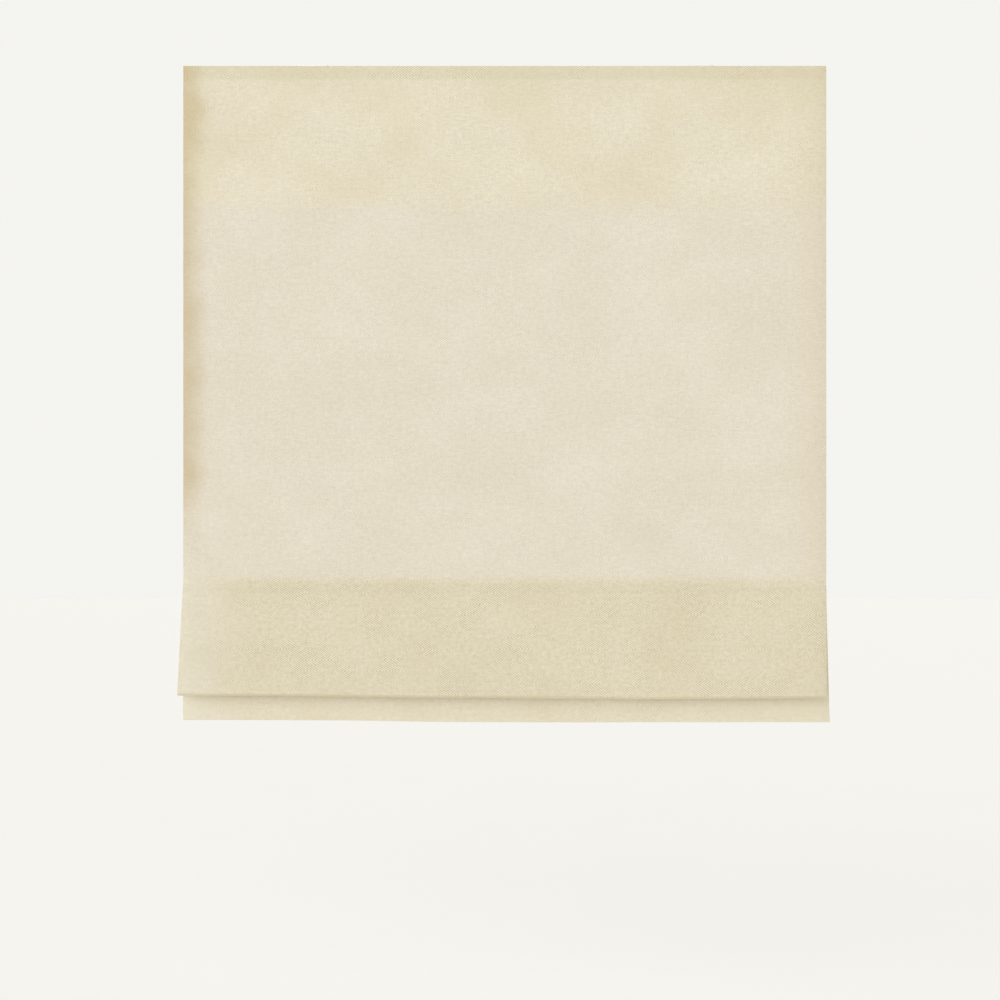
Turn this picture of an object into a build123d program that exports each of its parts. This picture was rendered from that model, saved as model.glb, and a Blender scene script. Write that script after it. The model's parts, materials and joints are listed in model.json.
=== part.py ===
from build123d import *
import os
from math import asin, atan2, cos, hypot, pi, sin, sqrt

# Roman blind for a window recess, raised by hand at its hem.
# A sprung lift shaft in the headrail balances it.
# It is modelled partly raised: the lowest pleat is gathered into one fold, with the hem showing under it.
# Millimetres. X runs along the headrail, the front of the cloth faces -Y and +Z is up.
# The origin is the middle of the line of bracket screw holes, on the brackets' top faces.

# Cloth
cloth_width = 1000
full_drop = 1350  # top edge to hem when the blind is fully lowered
pleat = 351  # cloth from one rod to the next
hem_show = 37  # hem below the crease of a closed fold
fold_reach = 24  # how far the fold stands in front of the flat cloth
crease_radius = 5.5
crease_take_up = 4.5  # drop that a fold loses to its crease and to the slant of its legs
face_thickness = 0.9
lining_thickness = 0.5
lining_margin = 20  # side hem left bare of lining
soft_gap = 0.3  # between layers, and between one stretch of cloth and the next
hem_height = 40
lining_tuck = 12  # how far below the hem's top edge the lining ends

# Headrail
rail_inset = 4  # rail's end inside the cloth's edge
rail_height = 34
rail_wall = 1.4
rail_lip = 5
rail_gap = 1  # bracket plate to the rail's top
cloth_above_rail = 0.5
cap_plate = 2
cap_plug = 8
cap_corner = 1
cap_skin = 1  # left between the bush's bore and the end plate
plug_gap = 0.3
tape_height = 20
tape_thickness = 1.2
tape_inset = 10
spool_wall_gap = 1.3

# Brackets
bracket_spacing = 600
bracket_length = 50
bracket_depth = 30
bracket_plate = 1.5
bracket_corner = 3
screw_hole_radius = 2.25
hook_offset = 20
hook_width = 8
hook_foot = 5
hook_gap = 0.3
lever_offset = 13
lever_pivot_y = 2
lever_width = 9
lever_length = 19
lever_tail = 7  # pivot to the end of the tail
lever_thickness = 1.5
lever_gap = 0.1
lever_tab = 3.5
rivet_radius = 2
rivet_head_radius = 3.5
rivet_head = 1.2
running_gap = 0.06

# Rods, their pockets and the rings behind them
rod_radius = 2
rod_inset = 8
rod_gap = 0.15
rod_stack = 18  # rod to rod when a pleat is gathered
pocket_inset = 15
pocket_wall = 0.5
pocket_height = 9
pocket_tab = 11  # rod's axis to the sewn top edge
tab_thickness = 0.8
rod_cap_radius = 2.5
rod_cap_length = 8
rod_cap_overlap = 5
ring_radius = 5
ring_wire_radius = 1

# Lift gear
cord_radius = 0.6
cord_spacing = 380
cord_standoff = 0.3
shaft_side = 6
shaft_corner = 0.4
shaft_end_gap = 2
shaft_gap = 0.1  # square shaft in a square bore, each side
shaft_above_floor = 14.6
spool_core_radius = 8.5
spool_flange = 1.5
spool_flange_rise = 2.2
spool_run = 27  # room for the wound cord
spool_lead = 2
journal_radius = 5
journal_play = 0.05
wall_play = 0.5
turn_pitch = 1.25
spare_turns = 2
cradle_wall = 3
cradle_base = 2
cradle_rise = 8
cradle_mouth = 8.6
nozzle_radius = 2.6
nozzle_bore = 1.5
nozzle_drop = 3
nozzle_gap = 0.3
housing_x = 110
housing_length = 110
housing_bore = 9.5
housing_top = 8  # below the brackets' top faces
anchor_length = 8
driver_length = 10
driver_radius = 9
spring_inner_radius = 5.2
spring_outer_radius = 7.2
brake_x = -150
brake_length = 24
brake_pad = 4
bush_length = 6.4
stop_radius = 5.5
stop_height = 2
stop_tail_radius = 3.5
stop_tail = 10
stop_bore = 0.9

# Bottom bar
bar_inset = 7
bar_height = 25
bar_thickness = 4
bar_wall = 0.9
bar_plug = 4
bar_spigot = 10
spigot_gap = 0.2

# Lengths that follow the cloth's width
rail_length = cloth_width - 2 * rail_inset
shaft_length = rail_length - 2 * shaft_end_gap
rod_length = cloth_width - 2 * rod_inset
pocket_length = cloth_width - 2 * pocket_inset
bar_length = cloth_width - 2 * bar_inset

# Levels
rail_top = -bracket_plate - rail_gap
rail_bottom = rail_top - rail_height
lip_underside = rail_top - rail_wall
rail_floor = rail_bottom + rail_wall
cloth_top = rail_top + cloth_above_rail
fold_drop = (pleat + rod_stack) / 2 - crease_take_up
flap = fold_drop + hem_show - rod_stack
rod_2_z = cloth_top - full_drop + flap + pleat
rod_1_z = rod_2_z + pleat
rod_3_z = rod_2_z - rod_stack
hem_bottom = rod_3_z - flap
shaft_z = rail_floor + shaft_above_floor

# Rail depth, which holds the spools behind the cords
pocket_depth = 2 * (rod_radius + rod_gap + pocket_wall)
flange_radius = spool_core_radius + spool_flange_rise
cord_setback = pocket_depth + soft_gap + ring_radius + ring_wire_radius - 2 * tape_thickness
spool_setback = spool_core_radius + cord_standoff + cord_radius
rail_depth = cord_setback + spool_setback + flange_radius + spool_wall_gap + rail_wall

# Depths, from the front of the rail forward, then back from the lining to the cords
rail_front = -rail_depth / 2
hook_tape_front = rail_front - tape_thickness
loop_tape_front = hook_tape_front - tape_thickness
lining_back = loop_tape_front - soft_gap
lining_front = lining_back - lining_thickness
face_back = lining_front - soft_gap
face_front = face_back - face_thickness
layers = lining_back - face_front  # both layers of cloth with their gap
pocket_front = lining_back + soft_gap
rod_y = pocket_front + pocket_depth / 2
cord_y = rail_front + cord_setback
shaft_y = cord_y + spool_setback
inner_half_depth = rail_depth / 2 - rail_wall

cord_xs = {"left": -cord_spacing, "middle": 0, "right": cord_spacing}
rod_levels = {1: rod_1_z, 2: rod_2_z, 3: rod_3_z}
sides = {"left": -1, "right": 1}

os.makedirs("parts", exist_ok=True)


def save(piece, name):
    piece.part.label = name
    export_step(piece.part, f"parts/{name}.step")


# ---- Headrail, tapes and end caps ----

with BuildPart() as headrail:
    with BuildSketch(Plane.YZ.offset(-rail_length / 2)):
        with Locations((0, (rail_top + rail_bottom) / 2)):
            Rectangle(rail_depth, rail_height)
            Rectangle(rail_depth - 2 * rail_wall, rail_height - 2 * rail_wall, mode=Mode.SUBTRACT)
        with Locations((0, rail_top)):
            Rectangle(rail_depth - 2 * rail_lip, 2 * rail_wall, mode=Mode.SUBTRACT)
    extrude(amount=rail_length)
    with Locations(*[(x, cord_y, rail_floor) for x in cord_xs.values()]):
        Hole(nozzle_radius + nozzle_gap, depth=2 * rail_wall)
save(headrail, "headrail")


def tape(front, back):
    """One half of the hook tape that holds the cloth to the rail."""
    with BuildPart() as strip:
        with BuildSketch(Plane.XZ.offset(-back)):
            with Locations((0, (rail_top + rail_bottom) / 2)):
                Rectangle(cloth_width - 2 * tape_inset, tape_height)
        extrude(amount=back - front)
    return strip


save(tape(hook_tape_front, rail_front), "hook_tape")
save(tape(loop_tape_front, hook_tape_front), "loop_tape")


def shaft_square(x):
    """Section of the square hole that turns with the lift shaft."""
    with BuildSketch(Plane.YZ.offset(x)) as square:
        with Locations((shaft_y, shaft_z)):
            Rectangle(shaft_side + 2 * shaft_gap, shaft_side + 2 * shaft_gap)
    return square.sketch


def shaft_circle(x, radius):
    """Section of a round step on the shaft's axis."""
    with BuildSketch(Plane.YZ.offset(x)) as circle:
        with Locations((shaft_y, shaft_z)):
            Circle(radius)
    return circle.sketch


def end_cap(side):
    """Plate over the rail's end, with a plug inside it that carries the shaft's bush."""
    end = side * rail_length / 2
    with BuildPart() as cap:
        with BuildSketch(Plane.YZ.offset(end)):
            with Locations((0, (rail_top + rail_bottom) / 2)):
                RectangleRounded(rail_depth, rail_height, cap_corner)
        extrude(amount=side * cap_plate)
        with BuildSketch(Plane.YZ.offset(end)):
            with Locations((0, (lip_underside + rail_floor) / 2)):
                Rectangle(
                    2 * (inner_half_depth - plug_gap),
                    lip_underside - rail_floor - 2 * plug_gap,
                )
        extrude(amount=-side * cap_plug)
        bore = shaft_circle(end - side * cap_plug, journal_radius + journal_play)
        extrude(bore, amount=side * (cap_plug - cap_skin), mode=Mode.SUBTRACT)
    return cap


def shaft_bush(side):
    """Round journal on the shaft's square end."""
    inner = side * (rail_length / 2 - cap_plug + plug_gap)
    start = min(inner, inner + side * bush_length)
    with BuildPart() as bush:
        extrude(shaft_circle(start, journal_radius), amount=bush_length)
        extrude(shaft_square(start), amount=bush_length, mode=Mode.SUBTRACT)
    return bush


for end_name, side in sides.items():
    save(end_cap(side), f"end_cap_{end_name}")
    save(shaft_bush(side), f"shaft_bush_{end_name}")


# ---- Brackets, each with a swivel lever that locks the rail ----


def bracket(hole_x):
    """Plate screwed to the soffit, with two hooks under the rail's front lip."""
    leg_front = rail_front + rail_lip + hook_gap
    leg_back = leg_front + bracket_plate
    with BuildPart() as plate:
        with BuildSketch(Plane.XY.offset(-bracket_plate)):
            with Locations((hole_x, 0)):
                RectangleRounded(bracket_length, bracket_depth, bracket_corner)
                Circle(screw_hole_radius, mode=Mode.SUBTRACT)
            with Locations((hole_x + lever_offset, lever_pivot_y)):
                Circle(rivet_radius + running_gap, mode=Mode.SUBTRACT)
        extrude(amount=bracket_plate)
        for offset in (-hook_offset, hook_offset):
            with BuildSketch(Plane.YZ.offset(hole_x + offset - hook_width / 2)):
                with BuildLine():
                    Polyline(
                        (leg_front, -bracket_plate),
                        (leg_front, lip_underside),
                        (leg_back - hook_foot, lip_underside),
                        (leg_back - hook_foot, lip_underside - bracket_plate),
                        (leg_back, lip_underside - bracket_plate),
                        (leg_back, -bracket_plate),
                        close=True,
                    )
                make_face()
            extrude(amount=hook_width)
    return plate


def lever(hole_x):
    """Swivel lever: its nose locks under the rail's back lip, and its tail has a finger tab."""
    pivot = (hole_x + lever_offset, lever_pivot_y)
    top = lip_underside - lever_gap
    tail_end = lever_pivot_y - lever_tail
    with BuildPart() as arm:
        with BuildSketch(Plane.XY.offset(top - lever_thickness)):
            with Locations((pivot[0], tail_end + lever_length / 2)):
                SlotOverall(lever_length, lever_width, rotation=90)
            with Locations(pivot):
                Circle(rivet_radius + running_gap, mode=Mode.SUBTRACT)
        extrude(amount=lever_thickness)
        with BuildSketch(Plane.XY.offset(top - lever_thickness)):
            with Locations((pivot[0], tail_end + lever_thickness)):
                Rectangle(lever_width / 2, lever_thickness)
        extrude(amount=-lever_tab)
    return arm


with BuildPart() as bracket_rivets:
    for hole_x in (-bracket_spacing / 2, bracket_spacing / 2):
        lever_top = lip_underside - lever_gap
        lever_under = lever_top - lever_thickness
        pivot = (hole_x + lever_offset, lever_pivot_y)
        with BuildSketch(Plane.XY.offset(lever_under - lever_gap)):
            with Locations(pivot):
                Circle(rivet_radius)
        extrude(amount=lever_gap - lever_under)
        with BuildSketch(Plane.XY.offset(lever_under - lever_gap)):
            with Locations(pivot):
                Circle(rivet_head_radius)
        extrude(amount=-rivet_head)
        with BuildSketch(Plane.XY.offset(-bracket_plate)):
            with Locations(pivot):
                Circle(rivet_head_radius)
        extrude(amount=lip_underside + bracket_plate)
save(bracket_rivets, "bracket_rivets")

for end_name, side in sides.items():
    save(bracket(side * bracket_spacing / 2), f"bracket_{end_name}")
    save(lever(side * bracket_spacing / 2), f"bracket_lever_{end_name}")


# ---- Lift shaft, spools and their cradles ----

with BuildPart() as lift_shaft:
    with BuildSketch(Plane.YZ.offset(-shaft_length / 2)):
        with Locations((shaft_y, shaft_z)):
            RectangleRounded(shaft_side, shaft_side, shaft_corner)
    extrude(amount=shaft_length)
save(lift_shaft, "lift_shaft")


def spool(cord_x):
    """Cord spool with a journal past each flange."""
    start = cord_x - spool_run
    end = cord_x + spool_lead
    journal = cradle_wall + 2 * wall_play
    whole_start = start - spool_flange - journal
    whole_length = end - start + 2 * (spool_flange + journal)
    with BuildPart() as drum:
        extrude(shaft_circle(whole_start, journal_radius), amount=whole_length)
        extrude(shaft_circle(start, spool_core_radius), amount=end - start)
        extrude(shaft_circle(start, flange_radius), amount=-spool_flange)
        extrude(shaft_circle(end, flange_radius), amount=spool_flange)
        extrude(shaft_square(whole_start), amount=whole_length, mode=Mode.SUBTRACT)
    return drum


def cradle(cord_x):
    """Holder that snaps over the spool's journals and guides the cord out through the rail's floor."""
    inner_start = cord_x - spool_run - spool_flange - wall_play
    inner_end = cord_x + spool_lead + spool_flange + wall_play
    half_depth = inner_half_depth - plug_gap
    length = inner_end - inner_start + 2 * cradle_wall
    middle = (inner_start + inner_end) / 2
    with BuildPart() as holder:
        with BuildSketch(Plane.XY.offset(rail_floor)):
            with Locations((middle, 0)):
                Rectangle(length, 2 * half_depth)
        extrude(amount=cradle_base)
        for wall_start in (inner_start - cradle_wall, inner_end):
            with BuildSketch(Plane.YZ.offset(wall_start)):
                with Locations((0, rail_floor)):
                    Rectangle(
                        2 * half_depth,
                        shaft_z + cradle_rise - rail_floor,
                        align=(Align.CENTER, Align.MIN),
                    )
                with Locations((shaft_y, shaft_z)):
                    Circle(journal_radius + journal_play, mode=Mode.SUBTRACT)
                    Rectangle(
                        cradle_mouth,
                        2 * cradle_rise,
                        align=(Align.CENTER, Align.MIN),
                        mode=Mode.SUBTRACT,
                    )
            extrude(amount=cradle_wall)
        with BuildSketch(Plane.XY.offset(rail_floor)):
            with Locations((cord_x, cord_y)):
                Circle(nozzle_radius)
        extrude(amount=-nozzle_drop)
        with BuildSketch(Plane.XY.offset(rail_floor - nozzle_drop)):
            with Locations((cord_x, cord_y)):
                Circle(nozzle_bore)
        extrude(amount=nozzle_drop + cradle_base, mode=Mode.SUBTRACT)
    return holder


for place, cord_x in cord_xs.items():
    save(spool(cord_x), f"cord_spool_{place}")
    save(cradle(cord_x), f"spool_cradle_{place}")

wound_radius = spool_core_radius + cord_radius
wound_turns = spare_turns + (pleat - rod_stack) / (2 * pi * wound_radius)
winding_end = -cord_radius - cord_standoff

with BuildPart() as cord_windings:
    for cord_x in cord_xs.values():
        with BuildSketch(Plane.YZ.offset(cord_x + winding_end)):
            with Locations((shaft_y, shaft_z)):
                Circle(spool_core_radius + shaft_gap + 2 * cord_radius)
                Circle(spool_core_radius + shaft_gap, mode=Mode.SUBTRACT)
        extrude(amount=-wound_turns * turn_pitch)
save(cord_windings, "cord_windings")


# ---- Balance spring and friction brake on the shaft ----


def housing(x, length):
    """Block clipped into the rail, bored on the shaft's axis."""
    with BuildPart() as block:
        with BuildSketch(Plane.YZ.offset(x)):
            with Locations((0, (rail_floor + plug_gap - housing_top) / 2)):
                Rectangle(2 * (inner_half_depth - plug_gap), -housing_top - rail_floor - plug_gap)
            with Locations((shaft_y, shaft_z)):
                Circle(housing_bore, mode=Mode.SUBTRACT)
        extrude(amount=length)
    return block


with BuildPart() as spring_anchor:
    extrude(shaft_circle(housing_x, housing_bore - shaft_gap), amount=anchor_length)
    extrude(shaft_circle(housing_x, journal_radius), amount=anchor_length, mode=Mode.SUBTRACT)

driver_start = housing_x + housing_length - driver_length
with BuildPart() as spring_driver:
    extrude(shaft_circle(driver_start, driver_radius), amount=driver_length)
    extrude(shaft_square(driver_start), amount=driver_length, mode=Mode.SUBTRACT)

spring_start = housing_x + anchor_length
spring_length = driver_start - wall_play - spring_start
with BuildPart() as balance_spring:
    extrude(shaft_circle(spring_start, spring_outer_radius), amount=spring_length)
    extrude(shaft_circle(spring_start, spring_inner_radius), amount=spring_length, mode=Mode.SUBTRACT)

rotor_start = brake_x + brake_pad
rotor_length = brake_length - 2 * brake_pad
with BuildPart() as brake_rotor:
    extrude(shaft_circle(rotor_start, driver_radius), amount=rotor_length)
    extrude(shaft_square(rotor_start), amount=rotor_length, mode=Mode.SUBTRACT)

with BuildPart() as brake_pads:
    for pad_x in (brake_x, brake_x + brake_length - brake_pad + wall_play):
        with BuildSketch(Plane.YZ.offset(pad_x)):
            with Locations((shaft_y, shaft_z)):
                Circle(housing_bore - shaft_gap)
                Circle(journal_radius, mode=Mode.SUBTRACT)
        extrude(amount=brake_pad - wall_play)

save(housing(housing_x, housing_length), "spring_housing")
save(spring_anchor, "spring_anchor")
save(spring_driver, "spring_driver")
save(balance_spring, "balance_spring")
save(housing(brake_x, brake_length), "brake_housing")
save(brake_rotor, "brake_rotor")
save(brake_pads, "brake_pads")


# ---- Cloth: a face fabric and a lining, parted only at the rods, as each stretch follows its own rod ----


def panel(front, thickness, top, bottom, width):
    """Flat stretch of cloth, from its front surface back."""
    with BuildPart() as sheet:
        with BuildSketch(Plane.XZ.offset(-front - thickness)):
            with Locations((0, bottom)):
                Rectangle(width, top - bottom, align=(Align.CENTER, Align.MIN))
        extrude(amount=thickness)
    return sheet


def tangent_point(start, centre, radius, turn):
    """Where the line from start touches the circle, on the side that turn (-1 or 1) gives."""
    run = hypot(centre[0] - start[0], centre[1] - start[1])
    heading = atan2(centre[1] - start[1], centre[0] - start[0]) + turn * asin(radius / run)
    length = sqrt(run**2 - radius**2)
    return (start[0] + length * cos(heading), start[1] + length * sin(heading))


crease_centre = (
    face_front - fold_reach + crease_radius,
    rod_2_z - fold_drop + crease_radius,
)


def fold_points(inset):
    """Corners of the fold's side view, inset from its outer surface: down the front leg, up the back one."""
    top = (face_front + inset, rod_2_z)
    knee = (face_front - 2 * (layers + soft_gap) + inset, rod_3_z)
    back_top = (face_front - soft_gap - inset, rod_3_z)
    radius = crease_radius - inset
    front_touch = tangent_point(knee, crease_centre, radius, -1)
    lowest = (crease_centre[0], crease_centre[1] - radius)
    back_touch = tangent_point(back_top, crease_centre, radius, 1)
    return top, knee, front_touch, lowest, back_touch, back_top


def fold(inset, thickness, width):
    """Gathered pleat: the front leg hangs from rod 2, turns at the crease and goes back up to rod 3."""
    outer = fold_points(inset)
    inner = fold_points(inset + thickness)
    with BuildPart() as loop:
        with BuildSketch(Plane.YZ.offset(-width / 2)):
            with BuildLine():
                Polyline(outer[0], outer[1], outer[2])
                ThreePointArc(outer[2], outer[3], outer[4])
                Line(outer[4], outer[5])
                Line(outer[5], inner[5])
                Line(inner[5], inner[4])
                ThreePointArc(inner[4], inner[3], inner[2])
                Polyline(inner[2], inner[1], inner[0])
                Line(inner[0], outer[0])
            make_face()
        extrude(amount=width)
    return loop


bar_y = face_back + soft_gap + bar_thickness / 2
hem_back = bar_y + bar_thickness / 2 + soft_gap + face_thickness
hem_radius = (hem_back - face_front) / 2
hem_centre_y = (hem_back + face_front) / 2
hem_turn_z = hem_bottom + hem_radius
hem_top = hem_bottom + hem_height

with BuildPart() as face_flap:
    with BuildSketch(Plane.YZ.offset(-cloth_width / 2)):
        with BuildLine():
            Polyline(
                (face_back, hem_turn_z),
                (face_back, rod_3_z),
                (face_front, rod_3_z),
                (face_front, hem_turn_z),
            )
            ThreePointArc(
                (face_front, hem_turn_z),
                (hem_centre_y, hem_bottom),
                (hem_back, hem_turn_z),
            )
            Polyline(
                (hem_back, hem_turn_z),
                (hem_back, hem_top),
                (hem_back - face_thickness, hem_top),
                (hem_back - face_thickness, hem_turn_z),
            )
            ThreePointArc(
                (hem_back - face_thickness, hem_turn_z),
                (hem_centre_y, hem_bottom + face_thickness),
                (face_back, hem_turn_z),
            )
        make_face()
    extrude(amount=cloth_width)

lining_width = cloth_width - 2 * lining_margin
lining_inset = face_thickness + soft_gap
stretches = {
    "head_panel": (cloth_top, rod_1_z + soft_gap),
    "pleat_panel": (rod_1_z, rod_2_z + soft_gap),
}
for stretch, (top, bottom) in stretches.items():
    save(panel(face_front, face_thickness, top, bottom, cloth_width), f"face_{stretch}")
    save(panel(lining_front, lining_thickness, top, bottom, lining_width), f"lining_{stretch}")
save(fold(0, face_thickness, cloth_width), "face_fold")
save(fold(lining_inset, lining_thickness, lining_width), "lining_fold")
save(face_flap, "face_flap")
save(
    panel(lining_front, lining_thickness, rod_3_z, hem_top - lining_tuck, lining_width),
    "lining_flap",
)


# ---- Rods in their pockets, with the rings that the cords run through ----


def pocket(level):
    """Tape sleeve sewn to the lining by its top edge, with the rod in its bore."""
    with BuildPart() as sleeve:
        with BuildSketch(Plane.YZ.offset(-pocket_length / 2)):
            with Locations((rod_y, level)):
                SlotOverall(pocket_height, pocket_depth, rotation=90)
                Circle(rod_radius + rod_gap, mode=Mode.SUBTRACT)
            with Locations((pocket_front, level + rod_radius + rod_gap + pocket_wall)):
                Rectangle(
                    tab_thickness,
                    pocket_tab - rod_radius - rod_gap - pocket_wall,
                    align=(Align.MIN, Align.MIN),
                )
        extrude(amount=pocket_length)
    return sleeve


def rod(level):
    with BuildPart() as bar:
        with BuildSketch(Plane.YZ.offset(-rod_length / 2)):
            with Locations((rod_y, level)):
                Circle(rod_radius)
        extrude(amount=rod_length)
    return bar


def rod_caps(level):
    """A round cap over each end of the rod."""
    with BuildPart() as caps:
        for side in sides.values():
            inner_end = side * (rod_length / 2 - rod_cap_overlap)
            with BuildSketch(Plane.YZ.offset(inner_end)):
                with Locations((rod_y, level)):
                    Circle(rod_cap_radius)
            extrude(amount=side * rod_cap_length)
            with BuildSketch(Plane.YZ.offset(inner_end)):
                with Locations((rod_y, level)):
                    Circle(rod_radius + running_gap)
            extrude(amount=side * (rod_cap_overlap + rod_gap), mode=Mode.SUBTRACT)
    return caps


def rings(level):
    """Three lift rings, one for each cord."""
    with BuildPart() as row:
        for cord_x in cord_xs.values():
            with BuildSketch(Plane.XZ.offset(-cord_y)):
                with Locations((cord_x + ring_radius, level)):
                    Circle(ring_wire_radius)
            revolve(axis=Axis((cord_x, cord_y, level), (0, 0, 1)))
    return row


for number, level in rod_levels.items():
    save(pocket(level), f"rod_pocket_{number}")
    save(rod(level), f"rod_{number}")
    save(rod_caps(level), f"rod_caps_{number}")
    save(rings(level), f"rings_{number}")


# ---- Lift cords and the stops they are knotted in, under the lowest rings ----

stop_top = rod_3_z - ring_wire_radius - soft_gap
cord_end = stop_top - stop_tail + 2 * soft_gap

with BuildPart() as cord_stops:
    for cord_x in cord_xs.values():
        with BuildSketch(Plane.XY.offset(stop_top)):
            with Locations((cord_x, cord_y)):
                Circle(stop_radius)
        extrude(amount=-stop_height)
        with BuildSketch(Plane.XY.offset(stop_top)):
            with Locations((cord_x, cord_y)):
                Circle(stop_tail_radius)
        extrude(amount=-stop_height - stop_tail)
        with BuildSketch(Plane.XY.offset(stop_top)):
            with Locations((cord_x, cord_y)):
                Circle(stop_bore)
        extrude(amount=-stop_tail, mode=Mode.SUBTRACT)
save(cord_stops, "cord_stops")

for place, cord_x in cord_xs.items():
    with BuildPart() as lift_cord:
        with BuildSketch(Plane.XY.offset(cord_end)):
            with Locations((cord_x, cord_y)):
                Circle(cord_radius)
        extrude(amount=shaft_z - cord_end)
    save(lift_cord, f"lift_cord_{place}")


# ---- Bottom bar in the hem ----

bar_z = hem_bottom + face_thickness + soft_gap + bar_height / 2

with BuildPart() as bottom_bar:
    with BuildSketch(Plane.YZ.offset(-bar_length / 2)):
        with Locations((bar_y, bar_z)):
            SlotOverall(bar_height, bar_thickness, rotation=90)
            SlotOverall(
                bar_height - 2 * bar_wall,
                bar_thickness - 2 * bar_wall,
                rotation=90,
                mode=Mode.SUBTRACT,
            )
    extrude(amount=bar_length)
save(bottom_bar, "bottom_bar")

for end_name, side in sides.items():
    bar_end = side * bar_length / 2
    taken = 2 * (bar_wall + spigot_gap)
    with BuildPart() as bar_end_plug:
        with BuildSketch(Plane.YZ.offset(bar_end)):
            with Locations((bar_y, bar_z)):
                SlotOverall(bar_height, bar_thickness, rotation=90)
        extrude(amount=side * bar_plug)
        with BuildSketch(Plane.YZ.offset(bar_end)):
            with Locations((bar_y, bar_z)):
                SlotOverall(bar_height - taken, bar_thickness - taken, rotation=90)
        extrude(amount=-side * bar_spigot)
    save(bar_end_plug, f"bar_plug_{end_name}")
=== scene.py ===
import json
import math
from collections import namedtuple

import bpy
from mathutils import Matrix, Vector


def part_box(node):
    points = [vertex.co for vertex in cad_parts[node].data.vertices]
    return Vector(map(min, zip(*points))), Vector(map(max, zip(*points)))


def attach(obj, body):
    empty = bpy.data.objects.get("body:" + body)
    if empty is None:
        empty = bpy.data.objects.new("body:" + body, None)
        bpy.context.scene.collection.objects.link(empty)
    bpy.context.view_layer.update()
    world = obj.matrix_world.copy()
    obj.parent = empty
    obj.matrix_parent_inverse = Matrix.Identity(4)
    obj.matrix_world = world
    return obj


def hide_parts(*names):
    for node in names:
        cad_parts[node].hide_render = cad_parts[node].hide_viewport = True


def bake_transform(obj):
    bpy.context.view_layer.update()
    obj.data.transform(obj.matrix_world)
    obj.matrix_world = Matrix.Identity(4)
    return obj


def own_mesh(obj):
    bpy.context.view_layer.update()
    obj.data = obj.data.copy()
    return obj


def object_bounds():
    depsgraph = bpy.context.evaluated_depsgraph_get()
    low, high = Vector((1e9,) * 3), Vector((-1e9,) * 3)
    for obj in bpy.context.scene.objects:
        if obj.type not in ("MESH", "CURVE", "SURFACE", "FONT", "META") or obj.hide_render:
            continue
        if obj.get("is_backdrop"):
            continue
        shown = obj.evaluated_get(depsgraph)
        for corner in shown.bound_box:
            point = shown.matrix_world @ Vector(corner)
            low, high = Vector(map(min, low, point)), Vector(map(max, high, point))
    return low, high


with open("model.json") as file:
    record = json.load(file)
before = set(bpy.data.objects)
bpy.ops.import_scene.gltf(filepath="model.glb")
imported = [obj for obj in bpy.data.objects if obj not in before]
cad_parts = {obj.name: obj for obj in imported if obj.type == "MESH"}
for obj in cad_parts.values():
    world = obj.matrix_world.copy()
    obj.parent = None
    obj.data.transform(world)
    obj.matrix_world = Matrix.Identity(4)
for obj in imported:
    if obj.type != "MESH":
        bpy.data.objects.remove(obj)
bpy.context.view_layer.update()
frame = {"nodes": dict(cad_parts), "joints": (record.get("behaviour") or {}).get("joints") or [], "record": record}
MM = 0.001

# ---- What the cloth takes from the frame, in metres ----

head_low, head_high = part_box("face_head_panel")
fold_low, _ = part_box("face_fold")
flap_low, flap_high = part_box("face_flap")
lining_low, lining_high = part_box("lining_head_panel")
half_width = head_high.x
lining_half_width = lining_high.x
cloth_top = head_high.z
face_front = head_low.y
face_thickness = head_high.y - head_low.y
lining_front = lining_low.y
lining_thickness = lining_high.y - lining_low.y
rod_z = {n: sum(corner.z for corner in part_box(f"rod_{n}")) / 2 for n in (1, 2, 3)}
crease_front = fold_low.y
crease_bottom = fold_low.z
hem_bottom = flap_low.z
hem_back = flap_high.y
cord_x = {
    place: sum(corner.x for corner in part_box(f"lift_cord_{place}")) / 2
    for place in ("left", "middle", "right")
}

# ---- How the cloth was made up ----

side_return = 19 * MM  # cloth turned to the back at each side
trimmed_return = 4 * MM  # and what is left of it inside the hem
return_gap = 0.05 * MM
hem_top = hem_bottom + 40 * MM
hem_shut = 11 * MM  # the hem's back closes on to the lining over this height
flap_lap = 1 * MM  # the flap starts above its rod, over the fold's back leg
lining_tuck = 8 * MM  # lining inside the hem
trim_lead = 14 * MM  # the turned-in sides are cut back from this far above the hem
sheet_fill = 0.94  # share of its layer that a sheet fills, so that layers don't touch
row_step = 5 * MM
column_step = 20 * MM

# ---- How it hangs ----

crease_radius = 5.5 * MM
front_angle = 187  # where the fold's front leg meets the crease, in degrees
back_angle = 364.5  # and its back leg
knee_drop = 18 * MM  # the fold leaves the flat cloth over this drop
knee_reach = 4 * MM
back_leg_gap = 0.3 * MM
ripple_height = 0.9 * MM
ripple_length = 88 * MM
ripple_margin = 22 * MM  # flat cloth beside each rod and under the rail
crease_skew = -4.3 * MM  # the fold hangs a little to the left
crease_bow = 2.8 * MM
crease_bow_start = -0.15
crease_bow_length = 0.8
hem_skew = 2.4 * MM  # and the hem a little to the right
fold_flare = 0.003  # share by which the cloth is wider at the crease
hem_flare = 0.006  # and at the hem
hem_drop = 3.6 * MM  # the right of the hem hangs lower than the left
hem_turn = -0.2  # where along the hem it drops
hem_turn_length = 0.11


# ---- Modelling helpers ----


def select_only(piece):
    """Makes one object the only selected one, and active."""
    bpy.ops.object.select_all(action="DESELECT")
    piece.select_set(True)
    bpy.context.view_layer.objects.active = piece


def place_in_mesh(piece):
    """Moves the object's place, turn and size into its mesh."""
    select_only(piece)
    bpy.ops.object.transform_apply(location=True, rotation=True, scale=True)


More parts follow.
